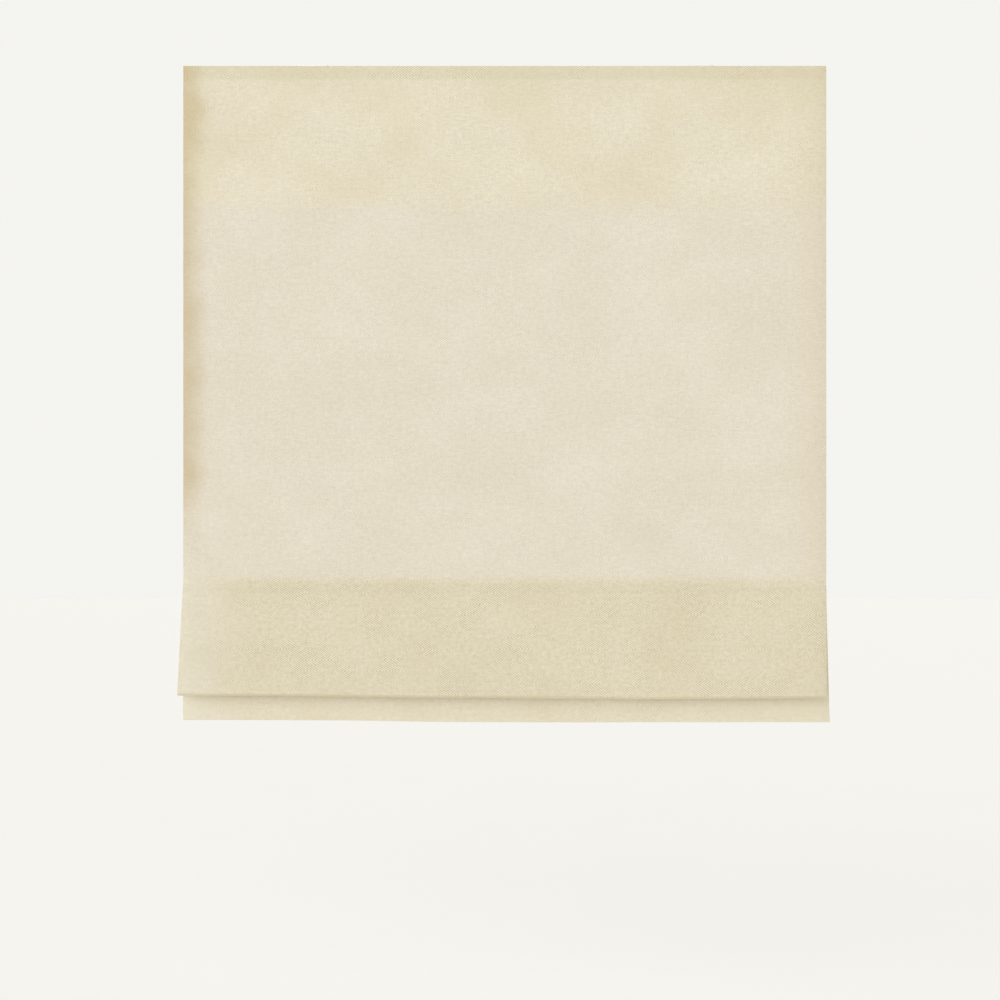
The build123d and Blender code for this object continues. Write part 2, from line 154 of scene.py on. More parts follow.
def apply_modifier(piece, kind, **settings):
    select_only(piece)
    bpy.ops.object.modifier_add(type=kind)
    modifier = piece.modifiers[-1]
    for key, value in settings.items():
        setattr(modifier, key, value)
    bpy.ops.object.modifier_apply(modifier=modifier.name)


def face_outwards(piece):
    select_only(piece)
    bpy.ops.object.mode_set(mode="EDIT")
    bpy.ops.mesh.select_all(action="SELECT")
    bpy.ops.mesh.normals_make_consistent(inside=False)
    bpy.ops.object.mode_set(mode="OBJECT")


def smooth(piece, angle=40):
    select_only(piece)
    bpy.ops.object.shade_smooth_by_angle(angle=math.radians(angle))


def dress(piece, material, body):
    """Gives a piece its material and the body that it rides on."""
    piece.data.materials.clear()
    piece.data.materials.append(material)
    if body:
        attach(piece, body)


# ---- Materials ----


class Shader:
    """A material's nodes, with short calls for what its patterns need."""

    def __init__(self, name, **constants):
        self.material = bpy.data.materials.new(name)
        self.material.use_nodes = True
        self.nodes = self.material.node_tree.nodes
        self.links = self.material.node_tree.links
        self.surface = self.nodes["Principled BSDF"]
        for socket, value in constants.items():
            title = socket if socket.isupper() else socket.replace("_", " ").title()
            self.surface.inputs[title].default_value = value

    def feed(self, socket, value):
        """Links a socket to another node's output, or sets it to a number."""
        if isinstance(value, bpy.types.NodeSocket):
            self.links.new(value, socket)
        else:
            socket.default_value = value

    def calc(self, operation, *values):
        node = self.nodes.new("ShaderNodeMath")
        node.operation = operation
        for socket, value in zip(node.inputs, values):
            self.feed(socket, value)
        return node.outputs[0]

    def times(self, first, second):
        return self.calc("MULTIPLY", first, second)

    def times_add(self, first, second, added):
        return self.calc("MULTIPLY_ADD", first, second, added)

    def ramp(self, value, low, high, to_low=0.0, to_high=1.0):
        """value from low to high, smoothly turned into to_low to to_high."""
        node = self.nodes.new("ShaderNodeMapRange")
        node.interpolation_type = "SMOOTHSTEP"
        for socket, given in zip(node.inputs, (value, low, high, to_low, to_high)):
            self.feed(socket, given)
        return node.outputs["Result"]

    def place(self):
        """X, Y and Z on the piece, in metres."""
        return self.apart(self.nodes.new("ShaderNodeTexCoord").outputs["Object"])

    def cloth_place(self):
        """How far across the cloth and how far down it, in metres of cloth."""
        chart = self.nodes.new("ShaderNodeUVMap")
        chart.uv_map = "cloth"
        return self.apart(chart.outputs["UV"])[:2]

    def apart(self, vector):
        parts = self.nodes.new("ShaderNodeSeparateXYZ")
        self.links.new(vector, parts.inputs[0])
        return tuple(parts.outputs)

    def noise(self, place, per_metre, detail=2.0, roughness=0.5):
        """Noise from 0 to 1, with this many blobs to the metre along each axis of place."""
        if not isinstance(per_metre, tuple):
            per_metre = (per_metre,) * len(place)
        vector = self.nodes.new("ShaderNodeCombineXYZ")
        for socket, axis, count in zip(vector.inputs, place, per_metre):
            self.feed(socket, self.times(axis, count))
        node = self.nodes.new("ShaderNodeTexNoise")
        self.links.new(vector.outputs[0], node.inputs["Vector"])
        node.inputs["Scale"].default_value = 1.0
        node.inputs["Detail"].default_value = detail
        node.inputs["Roughness"].default_value = roughness
        return node.outputs["Fac"]

    def waves(self, distance, pitch):
        """Even waves from -1 to 1, one for each pitch of distance."""
        return self.calc("SINE", self.times(distance, 2 * math.pi / pitch))

    def mix(self, share, first, second):
        node = self.nodes.new("ShaderNodeMix")
        node.data_type = "RGBA"
        self.feed(node.inputs[0], share)
        for socket, value in ((node.inputs[6], first), (node.inputs[7], second)):
            self.feed(socket, value if isinstance(value, bpy.types.NodeSocket) else (*value, 1.0))
        return node.outputs[2]

    def bump(self, height, depth, strength=1.0):
        node = self.nodes.new("ShaderNodeBump")
        node.inputs["Strength"].default_value = strength
        node.inputs["Distance"].default_value = depth
        self.links.new(height, node.inputs["Height"])
        self.links.new(node.outputs[0], self.surface.inputs["Normal"])

    def colour(self, value):
        self.links.new(value, self.surface.inputs["Base Color"])

    def rough(self, value, smoothest, roughest):
        """Roughness that follows a noise."""
        spread = self.ramp(value, 0.3, 0.7, smoothest, roughest)
        self.links.new(spread, self.surface.inputs["Roughness"])


# The face cloth's weave

band_height = 17.5 * MM  # one row of the herringbone
band_drift = 7 * MM  # how far the rows stray from level
twill_pitch = 3.5 * MM
twill_slope = 0.72
twill_wander = 0.9  # in ribs
cloth_light = (0.972, 0.914, 0.778)
cloth_dark = (0.475, 0.402, 0.246)

# Where its colour changes: each span is a start and an end, measured down the cloth

crease_length = cloth_top - crease_bottom + 0.6 * MM  # cloth from its top edge to the crease
heading_span = (0.024, 0.018)
heading_shade_span = (0.09, 0.0)
# where the paler band of painted backlight starts
painted_backlight_span = (0.205, 0.235)
folded_span = (0.79, 0.806)
side_fade_span = (0.78, 0.62)
# painted shade along the underside of the crease
crease_shade_span = (crease_length - 4 * MM, crease_length - 2 * MM)
crease_shade_fade_span = (crease_length + 9 * MM, crease_length)
# painted light on the hem, against the shade under the fold
hem_light_span = (crease_length + 0.15, crease_length + 0.16)

# The same across it

left_span = (-half_width + 0.044, -half_width - 0.004)
left_pale_span = (-half_width + 0.12, -half_width + 0.01)
right_span = (half_width - 0.075, half_width + 0.004)

# And the colours there

# paler cream of the painted backlight
painted_backlight_cream = (0.74, 0.67, 0.73)
# darker, warmer cream: painted shade of the folded cloth
folded_shade_cream = (0.65, 0.555, 0.345)
yellow_cream = (0.70, 0.61, 0.38)
# olive of the painted shade at the top
heading_shade_olive = (0.60, 0.53, 0.29)
# ochre of the turned-in sides: partly their own colour, partly painted shade
side_ochre_and_shade = (0.55, 0.42, 0.20)
pale_cream = (0.88, 0.84, 0.74)
# olive of the painted crease shade
crease_shade_olive = (0.50, 0.45, 0.22)
# cream of the painted light on the hem
hem_light_cream = (0.97, 0.92, 0.80)


def herringbone():
    """Cream herringbone: rows of slanting ribs that turn back at each row."""
    s = Shader("cream_herringbone", roughness=0.88, sheen_weight=0.1, sheen_roughness=0.6)
    u, v = cloth = s.cloth_place()
    cloud = s.noise(cloth, (6, 9), 3.0, 0.6)

    # Where the cloth lies double or thick: 1 inside, 0 outside
    folded = s.ramp(v, *folded_span)
    heading = s.ramp(v, *heading_span)
    # Painted backlight: 1 in the band between the heading and the fold, 0 outside
    painted_backlight = s.times(s.ramp(v, *painted_backlight_span), s.ramp(v, *reversed(folded_span)))
    inset = s.calc("ADD", u, s.times_add(cloud, 0.06, -0.03))  # u with an uneven edge
    left = s.times(s.ramp(inset, *left_span), s.ramp(v, *side_fade_span))
    layered = s.calc("MAXIMUM", s.times(heading, 0.7), s.times(left, 0.8))
    layered = s.calc("MAXIMUM", folded, layered)

    # The ribs are stronger in some patches, and where the cloth is layered
    shift = s.noise(cloth, (26, 9), 3.0, 0.7)
    row = s.calc("PINGPONG", s.times_add(shift, band_drift, v), band_height)
    along = s.calc("DIVIDE", s.times_add(u, twill_slope, row), twill_pitch)
    rib = s.waves(s.times_add(s.noise(cloth, (48, 60)), twill_wander, along), 1)
    patches = s.ramp(s.noise(cloth, (15, 19), 4.0, 0.65), 0.38, 0.62, 0.12, 1.0)
    breaks = s.ramp(s.noise(cloth, (210, 260), 1.0), 0.3, 0.6, 0.35, 1.15)
    strength = s.times(s.times(patches, breaks), s.times_add(layered, 0.62, 0.42))
    ribs = s.times(rib, strength)

    # Uneven yarns make the rest of the tone
    slub = s.noise(cloth, (60, 560))
    warp = s.noise(cloth, (520, 45))
    yarn = s.noise(cloth, (460, 460), 1.0)
    mottle = s.noise(cloth, (150, 190), 3.0, 0.6)
    mottled = s.times_add(folded, 0.4, 0.42)
    tone = s.times_add(ribs, 0.52, 0.66)
    grains = ((slub, 0.3), (warp, 0.16), (yarn, 0.26), (mottle, mottled), (cloud, 0.24))
    for grain, share in grains:
        tone = s.times_add(s.calc("SUBTRACT", grain, 0.5), share, tone)
    body = s.mix(tone, cloth_dark, cloth_light)

    # Painted backlight: the cloth between the heading and the fold is paler, as if daylight came through it, and
    # its yellow cloud is weaker there; the folded cloth is tinted darker and warmer as painted shade, for less
    # light through its extra layers
    body = s.mix(s.times(painted_backlight, 0.15), body, painted_backlight_cream)
    body = s.mix(s.times(folded, 0.26), body, folded_shade_cream)
    tint = s.noise((u, s.calc("ADD", v, 0.9125)), (9, 8))
    yellow = s.times(s.ramp(tint, 0.42, 0.66, 0.06, 0.24), s.times_add(painted_backlight, -0.6, 1.0))
    body = s.mix(yellow, body, yellow_cream)
    # Painted shade at the top: olive darkening over the stitched heading band, fading in towards the top edge, as
    # shade from the rail behind the cloth
    top = s.times_add(heading, 0.17, s.ramp(v, *heading_shade_span, 0.0, 0.1))
    body = s.mix(top, body, heading_shade_olive)

    # The turned-in sides are two layers thick and look warmer, most of all at the upper left; the ochre is partly
    # their own colour and partly painted shade, for less light through two layers and the shade of a wall beside
    # the blind
    right = s.times(s.ramp(inset, *right_span, 0.0, 0.14), s.times_add(folded, -0.9, 1.0))
    body = s.mix(s.calc("MAXIMUM", s.times(left, 0.58), right), body, side_ochre_and_shade)
    pale = s.times(s.ramp(inset, *left_pale_span, 0.0, 0.32), folded)
    body = s.mix(pale, body, pale_cream)

    # Painted shade: a thin dark olive line along the underside of the crease; and painted light on the hem below
    # it, against the shade under the fold
    crease_shade = s.times(s.ramp(v, *crease_shade_span), s.ramp(v, *crease_shade_fade_span))
    body = s.mix(s.times(crease_shade, 0.34), body, crease_shade_olive)
    # painted light on the hem
    body = s.mix(s.ramp(v, *hem_light_span, 0.0, 0.2), body, hem_light_cream)
    s.colour(body)

    height = s.times_add(ribs, 0.5, s.times(slub, 0.35))
    s.bump(s.times_add(yarn, 0.45, height), 0.2 * MM, 0.9)
    return s.material


def lining_sateen():
    """Plain off-white lining with a close, even weave and a soft sheen."""
    s = Shader("lining_sateen", roughness=0.62, sheen_weight=0.18, sheen_roughness=0.4)
    cloth = s.cloth_place()
    weft = s.noise(cloth, (90, 1500))
    warp = s.noise(cloth, (1500, 90))
    cloud = s.noise(cloth, (4, 5), 3.0)
    weave = s.times_add(weft, 0.5, s.times(warp, 0.5))
    tone = s.times_add(cloud, 0.35, s.times(weave, 0.65))
    s.colour(s.mix(tone, (0.74, 0.72, 0.66), (0.86, 0.85, 0.80)))
    s.bump(weave, 0.08 * MM, 0.6)
    return s.material


def woven_tape():
    """Off-white tape with ribs across its width."""
    s = Shader("woven_tape", roughness=0.8, sheen_weight=0.15)
    x, y, z = s.place()
    weave = s.times(s.waves(x, 1.6 * MM), s.waves(z, 0.9 * MM))
    fuzz = s.noise((x, y, z), 300, 3.0)
    tone = s.times_add(weave, 0.16, s.times(fuzz, 0.8))
    s.colour(s.mix(tone, (0.66, 0.64, 0.58), (0.84, 0.83, 0.78)))
    s.bump(weave, 0.12 * MM, 0.7)
    return s.material


def hook_pile():
    """Hook tape: rows of fine stiff hooks."""
    s = Shader("hook_pile", roughness=0.6)
    x, y, z = s.place()
    tone = s.times_add(s.waves(z, 1.4 * MM), 0.2, s.noise((x, y, z), 900, 1.0))
    s.colour(s.mix(tone, (0.60, 0.60, 0.58), (0.84, 0.84, 0.82)))
    s.bump(tone, 0.3 * MM, 0.9)
    return s.material


def braided_cord():
    """White braided cord, its strands crossing round it."""
    s = Shader("braided_cord", roughness=0.7, sheen_weight=0.2)
    x, y, z = s.place()
    climb = s.times(x, 1.4)
    over = s.waves(s.calc("ADD", z, climb), 1.9 * MM)
    under = s.waves(s.calc("SUBTRACT", z, climb), 1.9 * MM)
    braid = s.times(over, under)
    dust = s.noise((x, y, z), (700, 700, 260))
    tone = s.times_add(braid, 0.25, s.times_add(dust, 0.5, 0.3))
    s.colour(s.mix(tone, (0.62, 0.61, 0.58), (0.90, 0.90, 0.88)))
    s.bump(braid, 0.12 * MM, 0.8)
    return s.material


def sewing_thread():
    s = Shader("sewing_thread", roughness=0.6, sheen_weight=0.2)
    x, _, z = s.place()
    twist = s.waves(s.calc("ADD", x, z), 0.5 * MM)
    s.colour(s.mix(s.times_add(twist, 0.3, 0.5), (0.62, 0.59, 0.50), (0.86, 0.84, 0.77)))
    s.bump(twist, 0.05 * MM)
    return s.material


def powder_coat():
    """White powder coat with the faint orange peel of a sprayed finish."""
    s = Shader("powder_coat", coat_weight=0.15, coat_roughness=0.35)
    place = s.place()
    peel = s.noise(place, 520)
    drawn = s.noise(place, (3, 240, 240), 3.0)
    s.colour(s.mix(drawn, (0.80, 0.80, 0.78), (0.86, 0.86, 0.84)))
    s.rough(peel, 0.34, 0.48)
    s.bump(peel, 0.05 * MM, 0.5)
    return s.material


def bare_aluminium():
    """Mill-finish aluminium, with the long lines that the die leaves along it."""
    s = Shader("bare_aluminium", metallic=1.0)
    place = s.place()
    lines = s.noise(place, (4, 1700, 1700), 3.0)
    cloud = s.noise(place, 25, 3.0)
    s.colour(s.mix(cloud, (0.60, 0.61, 0.62), (0.76, 0.77, 0.78)))
    s.rough(lines, 0.28, 0.5)
    s.bump(lines, 0.03 * MM, 0.6)
    return s.material


def zinc_plate():
    """Bright zinc, with a faint mottle and a cooler tint in places."""
    s = Shader("zinc_plate", metallic=1.0)
    place = s.place()
    mottle = s.noise(place, 160, 4.0, 0.6)
    tint = s.noise(place, 45)
    s.colour(s.mix(tint, (0.62, 0.64, 0.67), (0.74, 0.73, 0.69)))
    s.rough(mottle, 0.24, 0.42)
    s.bump(mottle, 0.02 * MM, 0.4)
    return s.material


def spring_steel():
    """Oiled spring steel, darker where the oil has gathered."""
    s = Shader("spring_steel", metallic=1.0)
    x, y, z = s.place()
    oil = s.noise((x, y, z), 220, 3.0)
    s.colour(s.mix(oil, (0.24, 0.25, 0.27), (0.42, 0.42, 0.43)))
    s.rough(oil, 0.22, 0.4)
    s.bump(s.waves(x, 1.6 * MM), 0.2 * MM, 0.6)
    return s.material


def moulded_plastic():
    """White moulded plastic with a fine spark-eroded texture."""
    s = Shader("moulded_plastic")
    place = s.place()
    spark = s.noise(place, 1300)
    flow = s.noise(place, 60, 3.0)
    s.colour(s.mix(flow, (0.78, 0.78, 0.75), (0.85, 0.85, 0.83)))
    s.rough(spark, 0.42, 0.6)
    s.bump(spark, 0.03 * MM, 0.6)
    return s.material


def clear_plastic():
    """Milky clear plastic of the small rings."""
    s = Shader("clear_plastic", IOR=1.46, transmission_weight=0.35)
    haze = s.noise(s.place(), 500)
    s.colour(s.mix(haze, (0.84, 0.85, 0.86), (0.93, 0.93, 0.93)))
    s.rough(haze, 0.12, 0.28)
    return s.material


def fibreglass():
    """Pultruded rod: glass fibres that run along it in a cloudy resin."""
    s = Shader("fibreglass", coat_weight=0.2)
    fibres = s.noise(s.place(), (12, 2600, 2600), 3.0)
    s.colour(s.mix(fibres, (0.66, 0.67, 0.58), (0.84, 0.84, 0.77)))
    s.rough(fibres, 0.3, 0.5)
    s.bump(fibres, 0.04 * MM, 0.6)
    return s.material


finishes = {
    "face_cloth": herringbone(),
    "lining_cloth": lining_sateen(),
    "sewn_tape": woven_tape(),
    "cord": braided_cord(),
    "powder_coat": powder_coat(),
    "bare_aluminium": bare_aluminium(),
    "plated_steel": zinc_plate(),
    "spring_steel": spring_steel(),
    "white_plastic": moulded_plastic(),
    "clear_plastic": clear_plastic(),
    "fibreglass": fibreglass(),
}
hook_finish = hook_pile()
thread_finish = sewing_thread()

for subpart in frame["record"]["subparts"]:
    node = frame["nodes"][subpart["node"]]
    node.data.materials.clear()
    node.data.materials.append(finishes[subpart["material_slot"]])


# ---- The cloth's side view: the route that its outer surface takes down the blind ----


def straight(start, end, step=row_step):
    """Points from start to end, about one step apart."""
    run = math.dist(start, end)
    count = max(1, round(run / step))
    return [tuple(a + (b - a) * i / count for a, b in zip(start, end)) for i in range(count + 1)]


def arc(centre, radius, first, last, count):
    """Points round a centre, with angles in degrees from +Y towards +Z."""
    turns = [math.radians(first + (last - first) * i / count) for i in range(count + 1)]
    return [(centre[0] + radius * math.cos(t), centre[1] + radius * math.sin(t)) for t in turns]


def knee(start, count=8):
    """The fold's top, where the cloth eases forward from the flat."""
    shares = [i / count for i in range(count)]
    return [(start[0] - knee_reach * s * s, start[1] - knee_drop * s) for s in shares]


def closing(start, end, count):
    """Points that ease from one line down or up on to another, without the first."""
    points = []
    for i in range(1, count + 1):
        eased = 0.5 - 0.5 * math.cos(math.pi * i / count)
        y = start[0] + (end[0] - start[0]) * eased
        points.append((y, start[1] + (end[1] - start[1]) * i / count))
    return points


def lengths(route):
    """Distance along the route at each of its points."""
    total = [0.0]
    for a, b in zip(route, route[1:]):
        total.append(total[-1] + math.dist(a, b))
    return total


def inward(route):
    """Unit step from the cloth's outer surface to its inside, at each point of the route."""
    steps = []
    for i in range(len(route)):
        a, b = route[max(i - 1, 0)], route[min(i + 1, len(route) - 1)]
        run = math.dist(a, b)
        steps.append((-(b[1] - a[1]) / run, (b[0] - a[0]) / run))
    return steps


def deeper(route, depth):
    """The route of a layer that lies this deep inside the outer one."""
    steps = inward(route)
    return [(y + in_y * depth, z + in_z * depth) for (y, z), (in_y, in_z) in zip(route, steps)]


lining_depth = lining_front - face_front
cloth_depth = lining_depth + lining_thickness  # face and lining together

head_route = straight((face_front, cloth_top), (face_front, rod_z[1]))
pleat_route = straight((face_front, rod_z[1]), (face_front, rod_z[2]))

crease_centre = (crease_front + crease_radius, crease_bottom + crease_radius)
crease_arc = arc(crease_centre, crease_radius, front_angle, back_angle, 18)
front_knee = (face_front - knee_reach, rod_z[2] - knee_drop)
fold_front_route = (
    knee((face_front, rod_z[2])) + straight(front_knee, crease_arc[0])[:-1] + crease_arc
)

# The back leg is laid with its face forward, because it drops straight down when the fold opens
back_leg_bottom = (crease_arc[-1][0] - cloth_depth, crease_arc[-1][1])
back_leg_top = (face_front - back_leg_gap - cloth_depth, rod_z[3])
fold_back_route = [back_leg_top, back_leg_bottom]

flap_top = rod_z[3] + flap_lap
hem_radius = (hem_back - face_front) / 2
hem_centre = (face_front + hem_radius, hem_bottom + hem_radius)
hem_seam_y = lining_front + lining_thickness + face_thickness + return_gap
flap_route = (
    straight((face_front, flap_top), (face_front, hem_centre[1]))[:-1]
    + arc(hem_centre, hem_radius, 180, 360, 12)
    + straight((hem_back, hem_centre[1]), (hem_back, hem_top - hem_shut))[1:]
    + closing((hem_back, hem_top - hem_shut), (hem_seam_y, hem_top), 6)
)
lining_flap_route = straight((face_front, flap_top), (face_front, hem_top - lining_tuck))


# ---- How the hanging cloth differs from the drawing ----


def sway(x, z):
    """Slow unevenness of soft cloth, from -1 to 1."""
    return 0.6 * math.sin(7.1 * x + 3.0 * z + 0.7) + 0.4 * math.sin(17.3 * x - 5.0 * z + 2.1)


def ripple(z, top, bottom):
    """Gentle waves across a flat panel, standing forward only, and none beside its ends."""
    ends = min(top - z, z - bottom)
    calm = min(1.0, max(0.0, ends / ripple_margin - 0.5))
    waves = round((top - bottom) / ripple_length)
    turn = 2 * math.pi * waves * (top - z) / (top - bottom)
    return -ripple_height * calm * calm * (3 - 2 * calm) * (0.5 - 0.5 * math.cos(turn))


def drape_panel(top, bottom):
    def drape(x, y, z):
        return x, y + ripple(z, top, bottom) * (1 + 0.35 * sway(x, z)), z

    return drape


def share_down(z, top, bottom):
    """0 at the top and above, 1 at the bottom and below."""
    return min(1.0, max(0.0, (top - z) / (top - bottom)))


def drape_fold(x, y, z):
    """The crease runs a little uneven and the fold hangs to the left."""
    share = share_down(z, rod_z[2], crease_bottom)
    bow = -crease_bow * math.sin(math.pi * (x - crease_bow_start) / crease_bow_length)
    bow += 0.45 * MM * sway(2.3 * x, 0)
    return x * (1 + fold_flare * share) + crease_skew * share, y, z + bow * share * share


def drape_flap(x, y, z):
    """The hem hangs lower at the right, and nowhere rises on to its bar."""
    share = share_down(z, rod_z[3], hem_bottom)
    lower = hem_drop * (0.5 + 0.5 * math.tanh((x - hem_turn) / hem_turn_length))
    lower += 0.3 * MM * (1 + sway(1.7 * x, 2))
    return x * (1 + hem_flare * share) + hem_skew * share, y, z - lower * share


def as_drawn(x, y, z):
    return x, y, z


# ---- Cloth ----


def flat_line(half, layer):
    """Places across a plain sheet, as (x, depth of its middle)."""
    count = round(2 * half / column_step)
    places = [(-half + 2 * half * i / count, layer / 2) for i in range(count + 1)]
    return lambda length: places


def turned_line(half, layer, returned):
    """Places across cloth that is turned to the back at each side."""
    roll = (layer + return_gap) / 2
    inner = half - roll - layer / 2
    count = round(2 * half / column_step)
    flat = [(-inner + 2 * inner * i / count, layer / 2) for i in range(count + 1)]
    right = []
    for angle in range(30, 181, 30):
        turn = math.radians(angle)
        right.append((inner + roll * math.sin(turn), layer / 2 + roll * (1 - math.cos(turn))))
    for share in (0.33, 0.67, 1):
        right.append((inner + (half - returned - inner) * share, layer / 2 + 2 * roll))
    return [(-x, depth) for x, depth in reversed(right)] + flat + right


def cloth_piece(name, route, start_length, line, layer, drape, climbs=False):
    """A sheet laid over the route, with a row for each point and a column for each place in line.

    line gives the places across the cloth at a length down it. Where the sheet climbs, its
    lengths are counted from its far end.
    """
    rows, columns = len(route), len(line(0))
    steps = inward(route)
    run = lengths(route)
    bpy.ops.object.select_all(action="DESELECT")
    bpy.ops.mesh.primitive_grid_add(x_subdivisions=columns - 1, y_subdivisions=rows - 1, size=2)
    piece = bpy.context.object
    piece.name = name
    spread = []
    for vertex in piece.data.vertices:
        column = round((vertex.co.x + 1) / 2 * (columns - 1))
        row = round((1 - vertex.co.y) / 2 * (rows - 1))
        x, depth = line(start_length + run[row])[column]
        (y, z), (in_y, in_z) = route[row], steps[row]
        vertex.co = drape(x, y + in_y * depth, z + in_z * depth)
        across = x if depth < layer else math.copysign(2 * half_width - abs(x), x)
        spread.append((across, start_length + (run[-1] - run[row] if climbs else run[row])))
    chart = piece.data.uv_layers[0]
    chart.name = "cloth"
    for loop in piece.data.loops:
        chart.data[loop.index].uv = spread[loop.vertex_index]
    apply_modifier(piece, "SOLIDIFY", thickness=layer * sheet_fill, offset=0, use_even_offset=True)
    face_outwards(piece)
    smooth(piece)
    return piece


pleat_start = cloth_top - rod_z[1]
fold_start = cloth_top - rod_z[2]
fold_back_start = fold_start + lengths(fold_front_route)[-1]
flap_start = fold_back_start + lengths(fold_back_route)[-1]
trim_start = flap_start + rod_z[3] - hem_top - trim_lead

whole_sides = turned_line(half_width, face_thickness, side_return)
trimmed_sides = turned_line(half_width, face_thickness, trimmed_return)
lining_line = flat_line(lining_half_width, lining_thickness)


def face_line(length):
    """The turned-in sides are cut back inside the hem, to make room for the bar."""
    return trimmed_sides if length > trim_start else whole_sides


head_drape = drape_panel(cloth_top, rod_z[1])
pleat_drape = drape_panel(rod_z[1], rod_z[2])

# start is how far down the cloth a stretch begins, and part ends the names of what it stands for
Stretch = namedtuple("Stretch", "route start drape body part climbs", defaults=[False])
stretches = {
    "head": Stretch(head_route, 0.0, head_drape, "headrail", "head_panel"),
    "pleat": Stretch(pleat_route, pleat_start, pleat_drape, "upper_rod", "pleat_panel"),
    "fold_front": Stretch(fold_front_route, fold_start, drape_fold, "middle_rod", "fold"),
    "fold_back": Stretch(fold_back_route, fold_back_start, drape_fold, None, "fold", True),
    "flap": Stretch(flap_route, flap_start, drape_flap, "lower_rod", "flap"),
}

travel = {
    joint["name"]: joint["range_m"][1] for joint in frame["joints"] if joint.get("range_m")
}
gathers = {
    # name: (joint, height that stays put, share of the height left)
    "head": ("head_gather", cloth_top, 1 - travel["head_gather"] / (cloth_top - rod_z[1])),
    "pleat": ("pleat_gather", rod_z[1], 1 - travel["pleat_gather"] / (rod_z[1] - rod_z[2])),
}


def hang(piece, name):
    """Gives a gathered stretch its own copy of its mesh, and moves the fold's back leg's placement into its mesh.
    """
    if name in gathers:
        joint, held_z, left = gathers[name]
        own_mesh(piece)
    if name == "fold_back":
        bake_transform(piece)


def lay_face(name, stretch):
    face = cloth_piece(
        f"{name}_cloth", stretch.route, stretch.start, face_line, face_thickness, stretch.drape,
        stretch.climbs,
    )
    dress(face, finishes["face_cloth"], stretch.body)
    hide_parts(f"face_{stretch.part}")
    hang(face, name)
    flat_size = (2 * (half_width + side_return), lengths(stretch.route)[-1])


def lay_lining(name, stretch):
    """The lining lies inside the face cloth, and ends in the hem."""
    route = lining_flap_route if name == "flap" else stretch.route
    back = cloth_piece(
        f"{name}_lining", deeper(route, lining_depth), stretch.start, lining_line,
        lining_thickness, stretch.drape, stretch.climbs,
    )
    dress(back, finishes["lining_cloth"], stretch.body)
    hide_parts(f"lining_{stretch.part}")
    hang(back, name)
    lengths(route)[-1]


for name, stretch in stretches.items():
    lay_face(name, stretch)
    lay_lining(name, stretch)


# ---- Stitching ----

thread_radius = 0.2 * MM


def stitch_row(name, first, step, count, length, turn, drape=as_drawn):
    """A row of short thread stitches, each a small rounded bar, from one stitch copied along."""
    bpy.ops.object.select_all(action="DESELECT")
    bpy.ops.mesh.primitive_cylinder_add(
        vertices=6, radius=thread_radius, depth=length, location=first, rotation=turn
    )
    piece = bpy.context.object
    piece.name = name
    place_in_mesh(piece)
    bpy.ops.object.mode_set(mode="EDIT")
    bpy.ops.mesh.select_all(action="SELECT")
    bpy.ops.mesh.bevel(offset=thread_radius * 0.5, segments=1, affect="EDGES")
    bpy.ops.object.mode_set(mode="OBJECT")
    apply_modifier(
        piece, "ARRAY", use_relative_offset=False, use_constant_offset=True,
        constant_offset_displace=step, count=count,
    )
    for vertex in piece.data.vertices:
        vertex.co = drape(*vertex.co)
    smooth(piece)
    return piece


def join(pieces, name):
    bpy.ops.object.select_all(action="DESELECT")
    for piece in pieces:
        piece.select_set(True)
    bpy.context.view_layer.objects.active = pieces[0]
    bpy.ops.object.join()
    pieces[0].name = name
    return pieces[0]


slip_step = 11 * MM
slip_length = 4.2 * MM
slip_slant = math.radians(62)
slip_x = lining_half_width + 0.4 * MM
slip_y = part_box("rod_pocket_1")[0].y - thread_radius - 0.02 * MM  # clear of the rod pockets
slip_rows = {
    # stretch: (height of its first stitch, and of its last)
    "head": (-40 * MM, rod_z[1] + 18 * MM),
    "pleat": (rod_z[1] - 14 * MM, rod_z[2] + 18 * MM),
    "flap": (rod_z[3] - 16 * MM, hem_top + 8 * MM),
}
for name, (highest, lowest) in slip_rows.items():
    count = round((highest - lowest) / slip_step)
    sides = [
        stitch_row(
            f"slip_{side}", (side * slip_x, slip_y, highest), (0, 0, -slip_step), count,
            slip_length, (0, side * slip_slant, 0), stretches[name].drape,
        )
        for side in (-1, 1)
    ]
    stitches = join(sides, f"{name}_slip_stitches")
    dress(stitches, thread_finish, stretches[name].body)
    hang(stitches, name)


# ---- Rod pockets: tape folded round each rod and sewn to itself and to the lining above it ----

pocket_layer = 0.5 * MM
pocket_height = 9 * MM  # of the tube that holds the rod
pocket_neck = 2 * MM  # over which the tube closes
pocket_step = 3 * MM
seam_step = 3.2 * MM
seam_length = 2.3 * MM
seam_rise = 1.6 * MM  # from the neck to the seam
seam_inset = 3 * MM
seam_end = 2 * MM
ring_thread_radius = 0.22 * MM
ring_loop_radius = 1.45 * MM
ring_loop_back = 0.7 * MM  # behind the pocket
ring_loop_offsets = (-0.55 * MM, 0, 0.55 * MM)


